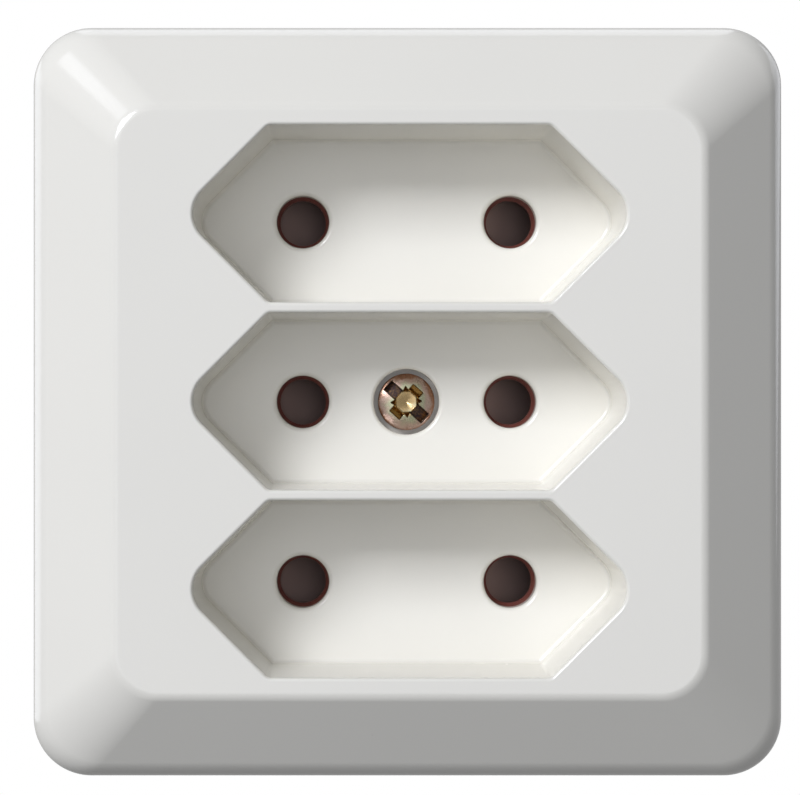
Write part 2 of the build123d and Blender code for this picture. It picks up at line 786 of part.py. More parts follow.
with BuildPart() as cover_screw:
    with BuildSketch(Plane.XY):
        with BuildLine():
            Polyline(
                (0, -head_top),
                (0, -seat + screw_length),
                (thread_half - screw_tip, -seat + screw_length),
                (thread_half, -seat + screw_length - screw_tip),
                (thread_half, -seat),
                (head_half, -seat),
                (head_half, -seat - screw_head_edge),
            )
            ThreePointArc(
                (head_half, -seat - screw_head_edge),
                (dome_middle, -head_top + dome_drop),
                (0, -head_top),
            )
        make_face()
    revolve(axis=Axis.Y)
    with BuildSketch(level(head_top)):
        Rectangle(long_slot_length, long_slot_width, rotation=slot_angle)
        Rectangle(cross_slot_width, cross_slot_length, rotation=slot_angle)
    extrude(amount=-slot_depth, mode=Mode.SUBTRACT)

    # eight-sided pit with a conical bottom, where the slots cross
    pit_turn = slot_angle + 180 / pit_sides
    with BuildSketch(level(head_top)):
        RegularPolygon(pit_diameter / 2, pit_sides, rotation=pit_turn)
    extrude(amount=-pit_depth, mode=Mode.SUBTRACT)
    with BuildSketch(level(head_top - pit_depth)):
        Circle(pit_diameter / 2 * cos(radians(180 / pit_sides)) - pit_ledge)
    with BuildSketch(level(head_top - pit_depth - pit_cone_depth)):
        Circle(pit_tip / 2)
    loft(mode=Mode.SUBTRACT)

cover_screw.part.label = "cover_screw"
export_step(cover_screw.part, "parts/cover_screw.step")
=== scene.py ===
import json
import math

import bpy
import numpy as np
from bpy.props import FloatProperty, FloatVectorProperty, IntProperty, PointerProperty
from mathutils import Matrix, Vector
from mathutils.geometry import tessellate_polygon


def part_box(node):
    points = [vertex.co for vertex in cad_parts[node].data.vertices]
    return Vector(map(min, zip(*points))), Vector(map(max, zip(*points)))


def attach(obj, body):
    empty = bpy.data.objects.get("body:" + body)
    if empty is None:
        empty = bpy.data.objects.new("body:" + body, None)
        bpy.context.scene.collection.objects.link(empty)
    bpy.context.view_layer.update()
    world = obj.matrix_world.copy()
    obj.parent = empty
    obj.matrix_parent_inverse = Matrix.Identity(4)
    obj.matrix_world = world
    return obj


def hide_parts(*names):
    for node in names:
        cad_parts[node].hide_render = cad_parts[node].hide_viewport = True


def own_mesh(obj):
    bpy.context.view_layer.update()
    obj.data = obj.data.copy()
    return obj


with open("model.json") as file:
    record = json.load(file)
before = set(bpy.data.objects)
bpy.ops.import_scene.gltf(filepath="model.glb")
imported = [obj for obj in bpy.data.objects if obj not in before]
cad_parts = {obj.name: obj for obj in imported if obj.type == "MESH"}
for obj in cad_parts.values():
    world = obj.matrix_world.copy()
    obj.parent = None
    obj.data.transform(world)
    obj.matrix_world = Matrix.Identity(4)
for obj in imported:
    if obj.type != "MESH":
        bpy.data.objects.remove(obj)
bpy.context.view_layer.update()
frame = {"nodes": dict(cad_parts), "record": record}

bl_info = {
    "name": "Three-outlet surface socket",
    "version": (1, 0, 0),
    "blender": (4, 5, 0),
    "location": "View3D > Sidebar > Socket",
    "description": "Dresses a surface-mounted socket with three flat two-pin outlets and sets its studio",
    "category": "Object",
}

# X is to the right, Y goes into the wall and Z is up, in metres. A level is a distance from the
# wall towards the front, so that a point at level L has y = -L.
FRONT_LEVEL, SKIRT_LEVEL = (-corner.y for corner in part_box("cover"))
SCREW_TIP_LEVEL = -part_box("cover_screw")[1].y
TURN = 2 * math.pi
EVEN = (1.0, 1.0, 1.0)  # grain that runs no way
SAME = 1e-6  # places and directions closer than this are the same
WELD_REACH = 5e-8  # points in the same cell of this size become one
EMPTY_AREA = 1e-12  # gives a quad without area, which the weld drops, the direction of its normals


def length(name, description, default, **limits):
    """A size in metres."""
    return FloatProperty(name=name, description=description, default=default, unit="LENGTH", precision=5, **limits)


def angle(name, description, degrees):
    """An angle, shown in degrees."""
    return FloatProperty(name=name, description=description, default=math.radians(degrees), unit="ROTATION")


def power(name, description, default):
    """A lamp's power in watts."""
    return FloatProperty(name=name, description=description, default=default, unit="POWER")


def number(name, description, default):
    """A number without a unit."""
    return FloatProperty(name=name, description=description, default=default)


def share(name, description, default):
    """A plain share from 0 to 1."""
    return FloatProperty(name=name, description=description, default=default, min=0.0, max=1.0, subtype="FACTOR")


def colour(name, description, default):
    """A linear colour."""
    kind = {"size": 3, "min": 0.0, "max": 1.0, "subtype": "COLOR"}
    return FloatVectorProperty(name=name, description=description, default=default, **kind)


def spot(name, description, default):
    """A place in metres."""
    kind = {"size": 3, "subtype": "TRANSLATION", "unit": "LENGTH", "precision": 4}
    return FloatVectorProperty(name=name, description=description, default=default, **kind)


def count(name, description, default):
    """A number of steps."""
    return IntProperty(name=name, description=description, default=default, min=2)


class CoverSettings(bpy.types.PropertyGroup):
    """Sizes of the cover moulding."""

    rim_half: length("Rim half-width", "Half the cover's width at its rim", 0.03385)
    rim_level: length("Rim level", "Distance of the rim's edge from the wall", 0.0276)
    plateau_half: length("Plateau half-width", "Half the flat front's width before its edge is rounded", 0.026)
    rim_corner: length("Rim corner", "Corner radius of the outline at the rim", 0.0052)
    plateau_corner: length("Plateau corner", "Corner radius of the flat front", 0.0040)
    rim_fillet: length("Rim rounding", "Radius between skirt and bevel", 0.0042)
    plateau_fillet: length("Plateau rounding", "Radius between bevel and flat front", 0.0014)
    side_draft: angle("Side draft", "Slant of the skirt", 1.0)
    wall: length("Wall", "Thickness of skirt and bevel", 0.002)
    face_thickness: length("Face thickness", "Thickness of the flat front", 0.0022)
    cup_wall: length("Cup wall", "Thickness of the wells' walls", 0.0016)
    floor_thickness: length("Floor thickness", "Thickness of the wells' floors", 0.0018)
    boss_level: length("Boss level", "Distance of the screw boss's end from the wall", 0.0198)
    boss_diameter: length("Boss diameter", "Outside of the boss round the screw", 0.0084)
    pitch: length("Well pitch", "Distance from one well to the next", 0.0165)
    well_depth: length("Well depth", "From the flat front to a well's floor", 0.011)
    well_height: length("Well height", "Opening's height", 0.01558)
    well_flat: length("Well straight edge", "Length of the opening's straight top and bottom edges", 0.02487)
    tip_radius: length("Tip radius", "Radius of the opening's left and right tips", 0.0028)
    corner_radius: length("Corner radius", "Radius of the opening's other corners", 0.0008)
    well_draft: angle("Well draft", "Slant of the wells' walls", 1.8)
    lip: length("Lip", "Rounding of the wells' mouths", 0.00032)
    floor_fillet: length("Floor rounding", "Rounding between wall and floor", 0.00045)
    pin_spacing: length("Pin spacing", "Distance between the two pin holes of a well", 0.019)
    pin_hole: length("Pin hole", "Diameter of a pin hole", 0.0048)
    pin_mouth: length("Pin mouth", "Rounding of a pin hole's mouth", 0.00045)
    screw_hole: length("Screw hole", "Diameter of the screw's seat", 0.006)
    screw_mouth: length("Screw mouth", "Rounding of the seat's mouth", 0.0004)
    seat_depth: length("Seat depth", "Depth of the screw's seat below the well's floor", 0.0022)
    passage: length("Passage", "Diameter of the hole for the screw's shank", 0.0034)
    knockout_half: length("Knock-out half-width", "Half the width that a score line bounds above and below", 0.006)
    knockout_level: length("Knock-out level", "Level up to which the score lines reach", 0.01)
    score_width: length("Score width", "Width of a score line", 0.0004)
    score_depth: length("Score depth", "Depth of a score line", 0.0003)
    arc_steps: count("Arc steps", "Faces round a quarter of the outline's corners", 24)
    side_steps: count("Side steps", "Faces along each part of a straight side", 7)
    round_steps: count("Rounding steps", "Faces across a rounded edge", 12)
    well_arc_steps: count("Well corner steps", "Faces round each corner of a well", 16)
    well_side_steps: count("Well side steps", "Faces along each straight side of a well", 10)
    pin_steps: count("Pin hole steps", "Faces round a pin hole", 72)
    seat_steps: count("Seat steps", "Faces round the screw's seat", 96)


class ScrewSettings(bpy.types.PropertyGroup):
    """Sizes of the cover screw."""

    head_level: length("Head level", "Distance of the whole dome's top from the wall", 0.0228)
    head_diameter: length("Head diameter", "Outside of the head", 0.0052)
    edge_height: length("Edge height", "Height of the head's straight side", 0.00135)
    dome_height: length("Dome height", "Rise of the dome over the straight side", 0.0006)
    shank_diameter: length("Shank diameter", "Outside of the thread", 0.00295)
    thread_pitch: length("Thread pitch", "Advance of the thread in one turn", 0.0005)
    thread_depth: length("Thread depth", "Depth of the thread", 0.00028)
    slot_angle: angle("Slot angle", "Turn of the long slot from the horizontal", -42.0)
    long_slot: length("Long slot", "Length of the long slot", 0.00462)
    long_slot_width: length("Long slot width", "Width of the long slot", 0.00108)
    cross_slot: length("Cross slot", "Length of the cross slot", 0.0033)
    cross_slot_width: length("Cross slot width", "Width of the cross slot", 0.0012)
    slot_depth: length("Slot depth", "Depth of the long slot", 0.0009)
    pit_diameter: length("Pit diameter", "Width of the middle pit", 0.00205)
    head_steps: count("Head steps", "Faces across the head", 232)
    turn_steps: count("Turn steps", "Faces round the shank", 36)


class SpringSettings(bpy.types.PropertyGroup):
    """Sizes of the shutter springs."""

    wire: length("Wire", "Diameter of the spring wire", 0.00045)
    coils: count("Coils", "Turns of one spring", 5)
    coil_steps: count("Coil steps", "Faces along one turn", 28)
    wire_steps: count("Wire steps", "Faces round the wire", 12)


class FinishSettings(bpy.types.PropertyGroup):
    """Colours and glosses."""

    cover_tint: colour("Cover", "Moulded white of the cover", (0.855, 0.832, 0.762))
    base_tint: colour("Base", "Moulded white of the base plate", (0.74, 0.73, 0.69))
    brown_tint: colour("Brown", "Moulded brown of block and entry plate", (0.18, 0.055, 0.043))
    # painted light: the shutters are of the dark brown plastic; this lighter, greyer tint stands in for the haze and
    # reflections seen on them in the shaded holes
    shutter_painted_light_tint: colour("Shutters", "Moulded greyer brown of the shutters", (0.42, 0.30, 0.27))
    cover_roughness: share("Cover roughness", "Blur of the cover's gloss", 0.15)
    brown_roughness: share("Brown roughness", "Blur of the brown plastic's gloss", 0.30)
    gold_tint: colour("Gold", "Yellow plating in the middle of the head", (0.48, 0.345, 0.17))
    green_tint: colour("Green", "Yellow plating round the recess", (0.40, 0.40, 0.27))
    pink_tint: colour("Pink", "Yellow plating on the dome", (0.46, 0.33, 0.27))
    umber_tint: colour("Umber", "Yellow plating at the head's edge", (0.30, 0.15, 0.09))
    amber_tint: colour("Amber", "Yellow plating in the shallow part of the recess", (0.30, 0.17, 0.05))
    brass_tint: colour("Brass", "Brass of strips, terminals, rivets and insert", (0.80, 0.60, 0.26))
    bronze_tint: colour("Bronze", "Bronze of the clips", (0.74, 0.47, 0.26))
    zinc_tint: colour("Zinc", "Bright plating of the inner screws", (0.72, 0.74, 0.77))
    steel_tint: colour("Spring steel", "Drawn wire of the springs", (0.50, 0.50, 0.51))


class StudioSettings(bpy.types.PropertyGroup):
    """Camera, lamps, floor and surroundings."""

    lens: FloatProperty(name="Lens", description="Focal length", default=125.63, unit="CAMERA")
    camera_right: length("Camera right", "Camera's place along X", -0.00654)
    camera_back: length("Camera distance", "Camera's distance from the wall", 0.279)
    camera_up: length("Camera up", "Camera's place along Z", -0.00085)
    shift_right: number("Shift right", "Sideways lens shift", 0.081)
    shift_up: number("Shift up", "Upward lens shift", 0.017)
    aim: spot("Aim", "Place that the lamps in front of the socket face", (0.0, -0.025, 0.0))
    key_place: spot("Key place", "Place of the key softbox", (-0.645, -0.8734, 0.55164))
    key_size: length("Key size", "Side of the key softbox", 0.38)
    key_power: power("Key power", "Power of the key softbox", 11.0)
    strip_place: spot("Strip place", "Place of the narrow lamp that lights the corner", (-0.7896, -0.4066, 0.8184))
    strip_size: length("Strip length", "Length of the narrow lamp", 0.27)
    strip_share: share("Strip width", "Width of the narrow lamp as a share of its length", 0.26)
    strip_power: power("Strip power", "Power of the narrow lamp", 0.28)
    front_place: spot("Front place", "Place of the weak lamp behind the camera", (-0.2, -1.55, 0.1))
    front_size: length("Front size", "Side of the weak lamp behind the camera", 1.4)
    front_power: power("Front power", "Power of the weak lamp behind the camera", 6.3)
    fill_aim: spot("Fill aim", "Place that the lamps behind the wall's plane face", (0.0, 0.03, 0.0))
    fill_right_place: spot("Right fill place", "Place of the right lamp behind the wall's plane", (0.9, 0.62, 0.35))
    fill_left_place: spot("Left fill place", "Place of the left lamp behind the wall's plane", (-0.9, 0.62, 0.1))
    fill_above_place: spot("Upper fill place", "Place of the upper lamp behind the wall's plane", (0.0, 0.62, 1.0))
    fill_size: length("Fill size", "Side of each lamp behind the wall's plane", 0.7)
    fill_power: power("Fill power", "Power of each lamp behind the wall's plane", 2.0)
    ambient: number("Ambient", "Even light on matt surfaces", 0.15)
    light_tint: colour("Light", "Tint of lamps and surroundings, as a share of its brightest part", (0.913, 0.935, 1.0))
    mirrored: number("Mirrored", "Brightness of the surroundings in reflections", 0.5)
    floor_drop: length("Floor drop", "Depth of the floor below the socket's middle", 0.17)
    floor_half: length("Floor half-width", "Half the floor's width", 0.9)
    floor_steps: count("Floor steps", "Points along each side of the floor", 24)


# Outlines and sections


def unit(vector):
    """Vectors at length one."""
    return vector / np.linalg.norm(vector, axis=-1, keepdims=True)


def compass(bearing):
    """Directions in a plane at bearings from its first axis."""
    return np.stack([np.cos(bearing), np.sin(bearing)], -1)


def lifted(flat, level):
    """Points or directions from their parts in the wall's plane and their level."""
    return np.stack([flat[..., 0], np.broadcast_to(-level, flat.shape[:-1]), flat[..., 1]], -1)


def rounded(corners, radii, steps, runs, closed):
    """A polygon or open run of straight lines with round corners, as points, right-hand normals and a mark
    that is 1 on the arcs. Each arc touches both its lines at radius * tan(turn / 2) from the corner, and a
    corner of radius 0 gives its point twice, once with each line's normal."""
    corners = [np.array(corner, float) for corner in corners]
    total = len(corners)
    inner = range(total) if closed else range(1, total - 1)
    arcs = []
    for i in inner:
        into = unit(corners[i] - corners[i - 1])
        out = unit(corners[(i + 1) % total] - corners[i])
        turn = math.atan2(into[0] * out[1] - into[1] * out[0], into @ out)
        side = math.copysign(1.0, turn)
        radius = radii[i]
        start = corners[i] - into * radius * math.tan(abs(turn) / 2)
        centre = start + side * radius * np.array([-into[1], into[0]])
        heading = math.atan2(into[1], into[0]) + turn * np.linspace(0, 1, steps + 1 if radius else 2)
        normals = np.stack([np.sin(heading), -np.cos(heading)], -1)
        arcs.append((centre + side * radius * normals, normals, 1.0 if radius else 0.0))
    points, facing, marks = [], [], []
    if not closed:
        normal = arcs[0][1][0]
        blend = np.linspace(0, 1, runs + 1)[:-1, None]
        points.append(corners[0] + (arcs[0][0][0] - corners[0]) * blend)
        facing.append(np.repeat(normal[None], runs, 0))
        marks.append(np.zeros(runs))
    for k, (arc, normals, mark) in enumerate(arcs):
        points.append(arc)
        facing.append(normals)
        marks.append(np.full(len(arc), mark))
        last = k == len(arcs) - 1
        if last and not closed:
            end = corners[-1]
        else:
            end = arcs[(k + 1) % len(arcs)][0][0]
        blend = np.linspace(0, 1, runs + 1)[1:None if last and not closed else -1, None]
        points.append(arc[-1] + (end - arc[-1]) * blend)
        facing.append(np.repeat(normals[-1][None], len(blend), 0))
        marks.append(np.zeros(len(blend)))
    return np.concatenate(points), np.concatenate(facing), np.concatenate(marks)


def section(corners, radii, steps, runs, ends):
    """An open run as rounded gives it. The first point, and with two ends the last one, only gives its line a
    direction, so that line is left out."""
    parts = rounded(corners, radii, steps, runs, closed=False)
    return tuple(part[runs : len(part) - runs * (ends - 1)] for part in parts)


def square_ring(along, arc_steps):
    """Directions round a rounded square. A point is centre * (half - corner) + normal * corner, where the
    centre follows along from -1 up to 1 on each side and stands at the square's corner on each quarter circle."""
    along = along[:, None]
    sweep = np.linspace(0, math.pi / 2, arc_steps, endpoint=False)
    centres, normals = [], []
    for quarter in range(4):
        start = quarter * math.pi / 2
        out = np.array([math.cos(start), math.sin(start)])
        on = np.array([-out[1], out[0]])
        centres += [out + along * on, np.repeat((out + on)[None], arc_steps, 0)]
        normals += [np.repeat(out[None], len(along), 0), compass(start + sweep)]
    return np.concatenate(centres), np.concatenate(normals)


def circle_ring(x, z, steps):
    """Centre and outward directions of a circle; a section's first number is then the radius."""
    return np.repeat(np.array([[x, z]]), steps, 0), compass(np.linspace(0, TURN, steps, endpoint=False))


def quads(index):
    """The quads between neighbouring rows and columns of a grid of point numbers."""
    return np.stack([index[:-1, :-1], index[:-1, 1:], index[1:, 1:], index[1:, :-1]], -1).reshape(-1, 4)


class Skin:
    """Patches of one closed skin. Grids and flat fills share their borders and are welded in the mesh,
    and each patch keeps its own normals, so that flats stay flat and rounded edges run into them."""

    def __init__(self):
        self.points, self.normals, self.marks, self.faces, self.count = [], [], [], [], 0

    def store(self, points, normals, marks):
        points = np.asarray(points, float).reshape(-1, 3)
        self.points.append(points)
        self.normals.append(np.broadcast_to(np.asarray(normals, float).reshape(-1, 3), points.shape))
        self.marks.append(np.broadcast_to(np.asarray(marks, float).reshape(-1), len(points)))
        self.count += len(points)
        return self.count - len(points)

    def grid(self, points, normals, marks=0.0, closed=True, cut=None):
        """Joins the rows of a grid of points by quads; closed joins the last column to the first. Quads that
        touch a point of the mask cut are the sides of a groove and take the normals of their own planes."""
        rows, columns = points.shape[:2]
        index = np.arange(rows * columns).reshape(rows, columns)
        if closed:
            index = np.concatenate([index, index[:, :1]], 1)
        faces = quads(index)
        flat = np.zeros(len(faces), bool) if cut is None else cut.reshape(-1)[faces].any(1)
        self.faces.append(self.store(points, normals, marks) + faces[~flat])
        if flat.any():
            own = points.reshape(-1, 3)[faces[flat]]
            facing = np.cross(own[:, 2] - own[:, 0], own[:, 3] - own[:, 1])
            stored = normals.reshape(-1, 3)[faces[flat]].sum(1)
            facing = facing * np.sign((facing * stored).sum(1))[:, None] + EMPTY_AREA * stored
            first = self.store(own, np.repeat(facing, 4, 0), 0.0)
            self.faces.append(first + np.arange(4 * len(own)).reshape(-1, 4))

    def sweep(self, ring, facing, profile):
        """Carries a section round an outline: a point is ring + facing * offset, at the section's level,
        and its normal is the section's normal turned into the outline's direction."""
        places, normals, marks = profile
        flat = ring[None] + facing[None] * places[:, 0, None, None]
        turned = lifted(facing[None] * normals[:, 0, None, None], normals[:, 1, None])
        self.grid(lifted(flat, places[:, 1, None]), turned, np.repeat(marks[:, None], len(ring), 1))
        return flat[0], flat[-1]

    def fill(self, loops, level, front, mark=0.0):
        """Fills the flat area between an outer loop and the loops inside it, at one level."""
        first = self.store(lifted(np.concatenate(loops), level), [0.0, -front, 0.0], mark)
        in_mm = [np.c_[loop * 1000.0, np.zeros(len(loop))].tolist() for loop in loops]
        self.faces.append(first + np.array(tessellate_polygon(in_mm), int).reshape(-1, 3))

    def mesh(self, name):
        """Welds the patches: each face is turned to its normals and equal points become one."""
        points, normals, marks = (np.concatenate(part) for part in (self.points, self.normals, self.marks))
        normals = unit(normals)
        cells = np.round(points / WELD_REACH).astype(np.int64)
        _, first, same = np.unique(cells, axis=0, return_index=True, return_inverse=True)
        same = same.reshape(-1)
        polygons, facing = [], []
        for faces in self.faces:
            corners = points[faces]
            across = np.cross(corners[:, 2] - corners[:, 0], corners[:, -1] - corners[:, 1])
            away = (across * normals[faces].sum(1)).sum(1) < 0
            faces[away] = faces[away][:, ::-1]
            kept = same[faces] != np.roll(same[faces], -1, axis=1)
            for sides in (3, 4):
                rows = kept.sum(1) == sides
                chosen = faces[rows][kept[rows]].reshape(-1, sides)
                polygons += same[chosen].tolist()
                facing.append(normals[chosen].reshape(-1, 3))
        mesh = bpy.data.meshes.new(name)
        mesh.from_pydata(points[first].tolist(), [], polygons)
        mesh.polygons.foreach_set("use_smooth", np.ones(len(polygons), bool))
        mesh.attributes.new("edge", "FLOAT", "POINT").data.foreach_set("value", marks[first])
        mesh.normals_split_custom_set(np.concatenate(facing).tolist())
        mesh.update()
        return mesh


def place(mesh, slot, node):
    """Puts a finished mesh on the housing, in place of its CAD node, with its slot's finish."""
    piece = bpy.data.objects.new(mesh.name, mesh)
    bpy.context.scene.collection.objects.link(piece)
    mesh.materials.append(finished(slot))
    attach(piece, "housing")
    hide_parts(node)
    return piece


# Finishes


class Graph:
    """Nodes of a material or a group, added by kind and joined as they are made."""

    def __init__(self, tree):
        self.tree = tree
        tree.nodes.clear()

    def add(self, kind, inputs=None, **settings):
        node = self.tree.nodes.new("ShaderNode" + kind)
        for key, value in settings.items():
            setattr(node, key, value)
        for key, value in (inputs or {}).items():
            if isinstance(value, bpy.types.NodeSocket):
                self.tree.links.new(value, node.inputs[key])
            else:
                node.inputs[key].default_value = value
        return node

    def join(self, source, target):
        self.tree.links.new(source, target)

    def principled(self, out, inputs, height, relief):
        """A Principled shader with a Bump node for its relief, joined to the material's output."""
        bump = self.add("Bump", {"Strength": 1.0, "Distance": relief, "Height": height}).outputs[0]
        shader = self.add("BsdfPrincipled", {**inputs, "Normal": bump})
        self.join(shader.outputs[0], out.inputs[0])

    def maths(self, operation, *values, clamp=False):
        return self.add("Math", dict(enumerate(values)), operation=operation, use_clamp=clamp).outputs[0]

    def times(self, first, second):
        return self.maths("MULTIPLY", first, second)

    def plus(self, first, second):
        return self.maths("ADD", first, second)

    def minus(self, first, second):
        return self.maths("SUBTRACT", first, second)

    def mix(self, factor, first, second, blend="MIX"):
        node = self.add("Mix", {0: factor, 6: first, 7: second}, data_type="RGBA", blend_type=blend)
        return node.outputs[2]

    def span(self, value, low, high, to_low=0.0, to_high=1.0):
        node = self.add("MapRange", {0: value, 1: low, 2: high, 3: to_low, 4: to_high}, clamp=True)
        return node.outputs[0]

    def noise(self, vector, scale, detail=3.0, roughness=0.5):
        inputs = {"Vector": vector, "Scale": scale, "Detail": detail, "Roughness": roughness}
        return self.add("TexNoise", inputs).outputs[0]

    def position(self):
        return self.add("TexCoord").outputs["Object"]

    def scaled(self, vector, factors):
        return self.add("VectorMath", {0: vector, 1: factors}, operation="MULTIPLY").outputs[0]


def rgba(tint):
    """A colour with full alpha."""
    return (*tint, 1.0)


def group(name, inputs, outputs):
    """An empty node group with named sockets, and the graph that fills it."""
    tree = bpy.data.node_groups.new(name, "ShaderNodeTree")
    for label, kind, default in inputs:
        socket = tree.interface.new_socket(name=label, in_out="INPUT", socket_type="NodeSocket" + kind)
        socket.default_value = default
    for label, kind in outputs:
        tree.interface.new_socket(name=label, in_out="OUTPUT", socket_type="NodeSocket" + kind)
    graph = Graph(tree)
    entry = tree.nodes.new("NodeGroupInput")
    end = tree.nodes.new("NodeGroupOutput")
    return graph, entry.outputs, end.inputs


def moulded_skin_group():
    """Moulded plastic: a slow drift of tone, fine grain in the gloss and a faint ripple of the surface."""
    graph, given, out = group(
        "moulded_skin",
        [
            ("Tint", "Color", rgba((0.8, 0.8, 0.8))),
            ("Drift", "Float", 0.03),
            ("Gloss Blur", "Float", 0.3),
            ("Blur Spread", "Float", 0.05),
        ],
        [("Color", "Color"), ("Roughness", "Float"), ("Height", "Float")],
    )
    position = graph.position()
    slow = graph.noise(position, 55.0, 2.0)
    fine = graph.noise(position, 2600.0, 3.0, 0.6)
    ripple = graph.noise(position, 240.0, 2.0)
    darker = graph.times(graph.span(slow, 0.3, 0.7), given["Drift"])
    shade = graph.minus(1.0, darker)
    tone = graph.add("CombineColor", {0: shade, 1: shade, 2: shade}).outputs[0]
    graph.join(graph.mix(1.0, given["Tint"], tone, "MULTIPLY"), out["Color"])
    spread = graph.times(graph.minus(fine, 0.5), given["Blur Spread"])
    graph.join(graph.plus(given["Gloss Blur"], spread), out["Roughness"])
    graph.join(graph.plus(graph.times(fine, 0.25), ripple), out["Height"])
    return graph.tree


def settled_dust_group():
    """Dust and scuffs: sparse small specks that darken the tint, thicker where Amount is higher."""
    graph, given, out = group(
        "settled_dust",
        [
            ("Tint", "Color", rgba((0.8, 0.8, 0.8))),
            ("Dust", "Color", rgba((0.3, 0.28, 0.24))),
            ("Amount", "Float", 0.5),
        ],
        [("Color", "Color"), ("Mask", "Float")],
    )
    position = graph.position()
    cells = graph.add("TexVoronoi", {"Vector": position, "Scale": 420.0}, feature="F1")
    size = graph.span(cells.outputs["Color"], 0.82, 1.0, 0.0, 0.085)
    speck = graph.maths("LESS_THAN", cells.outputs["Distance"], size)
    patches = graph.span(graph.noise(position, 160.0, 2.0), 0.45, 0.7)
    mask = graph.maths("MULTIPLY", graph.times(speck, patches), given["Amount"], clamp=True)
    graph.join(graph.mix(mask, given["Tint"], given["Dust"]), out["Color"])
    graph.join(mask, out["Mask"])
    return graph.tree


def metal_skin_group():
    """Metal: stretched scratches or drawing lines in gloss and relief, and a stain that darkens the tint."""
    graph, given, out = group(
        "metal_skin",
        [
            ("Tint", "Color", rgba((0.7, 0.7, 0.7))),
            ("Stain", "Color", rgba((0.4, 0.35, 0.3))),
            ("Stain Amount", "Float", 0.4),
            ("Gloss Blur", "Float", 0.3),
            ("Grain", "Vector", EVEN),
        ],
        [("Color", "Color"), ("Roughness", "Float"), ("Height", "Float")],
    )
    position = graph.position()
    lines = graph.noise(graph.scaled(position, given["Grain"]), 3000.0, 4.0, 0.6)
    cloud = graph.noise(position, 420.0, 4.0, 0.62)
    stain = graph.times(graph.span(cloud, 0.42, 0.72), given["Stain Amount"])
    graph.join(graph.mix(stain, given["Tint"], given["Stain"]), out["Color"])
    spread = graph.times(graph.minus(lines, 0.5), 0.22)
    rough = graph.plus(graph.plus(given["Gloss Blur"], spread), graph.times(stain, 0.2))
    graph.join(rough, out["Roughness"])
    graph.join(lines, out["Height"])
    return graph.tree


def finished(slot):
    """The material of a slot, once it is made."""
    return bpy.data.materials["finish_" + slot]


def finish(slot):
    """The graph of a new, empty material for a slot, and its output."""
    material = bpy.data.materials.new("finish_" + slot)
    material.use_nodes = True
    graph = Graph(material.node_tree)
    return graph, graph.add("OutputMaterial")


def use_group(graph, tree, **inputs):
    """A placed group with its own values; underscores in the names stand for spaces."""
    named = {key.replace("_", " "): value for key, value in inputs.items()}
    return graph.add("Group", named, node_tree=tree).outputs


def plastic(name, skin, dust, tint, blur, spread, drift, relief, dust_amount, dust_tint):
    """Moulded plastic with its skin and dust."""
    graph, out = finish(name)
    base = use_group(graph, skin, Tint=rgba(tint), Drift=drift, Gloss_Blur=blur, Blur_Spread=spread)
    soiled = use_group(graph, dust, Tint=base["Color"], Dust=rgba(dust_tint), Amount=dust_amount)
    rough = graph.plus(base["Roughness"], graph.times(soiled["Mask"], 0.3))
    inputs = {"Base Color": soiled["Color"], "Roughness": rough, "IOR": 1.5}
    graph.principled(out, inputs, base["Height"], relief)


def metal(name, skin, tint, stain, amount, blur, grain, relief):
    """Bare or plated metal with its drawing lines and stains."""
    graph, out = finish(name)
    base = use_group(graph, skin, Tint=rgba(tint), Stain=rgba(stain), Stain_Amount=amount, Gloss_Blur=blur, Grain=grain)
    inputs = {"Base Color": base["Color"], "Metallic": 1.0, "Roughness": base["Roughness"]}
    graph.principled(out, inputs, base["Height"], relief)


def yellow_plating(skin, tints):
    """Yellow passivated zinc. Its film runs in rings from gold through green to pink and brown towards the
    head's edge, broken up by clouds. The edge attribute carries painted shade in the recess, which turns
    the plating amber in the cross slot and the notches and near black, speckled, in the long slot."""
    graph, out = finish("yellow_zinc")
    position = graph.position()
    across = graph.scaled(position, (1.0, 0.0, 1.0))
    radius = graph.add("VectorMath", {0: across}, operation="LENGTH").outputs["Value"]
    cloud = graph.minus(graph.noise(position, 620.0, 3.0, 0.6), 0.5)
    # the radius as a share of the head's, moved in and out by the clouds
    ring = graph.plus(graph.times(radius, 385.0), graph.times(cloud, 0.9))
    tint = rgba(tints.gold_tint)
    rings = ((0.36, 0.52, tints.green_tint), (0.58, 0.78, tints.pink_tint), (0.84, 0.98, tints.umber_tint))
    for start, end, outer in rings:
        tint = graph.mix(graph.span(ring, start, end), tint, rgba(outer))
    stain = rgba((0.22, 0.15, 0.10))
    base = use_group(graph, skin, Tint=tint, Stain=stain, Stain_Amount=0.3, Gloss_Blur=0.24, Grain=EVEN)
    # painted shade of the recess: amber where the edge attribute is moderate, near black where it is high
    depth = graph.add("Attribute", attribute_name="edge").outputs["Fac"]
    amber = graph.mix(graph.span(depth, 0.15, 0.4), base["Color"], rgba(tints.amber_tint))
    speckle = graph.span(graph.noise(position, 5200.0, 2.0, 0.7), 0.42, 0.62)
    even = graph.minus(1.0, graph.times(speckle, 0.3))
    deep = graph.times(graph.span(depth, 0.5, 0.9), even)
    shade = graph.mix(deep, amber, rgba((0.03, 0.022, 0.026)))
    rough = graph.plus(base["Roughness"], graph.times(deep, 0.15))
    inputs = {"Base Color": shade, "Metallic": 1.0, "Roughness": rough}
    graph.principled(out, inputs, base["Height"], 1e-5)


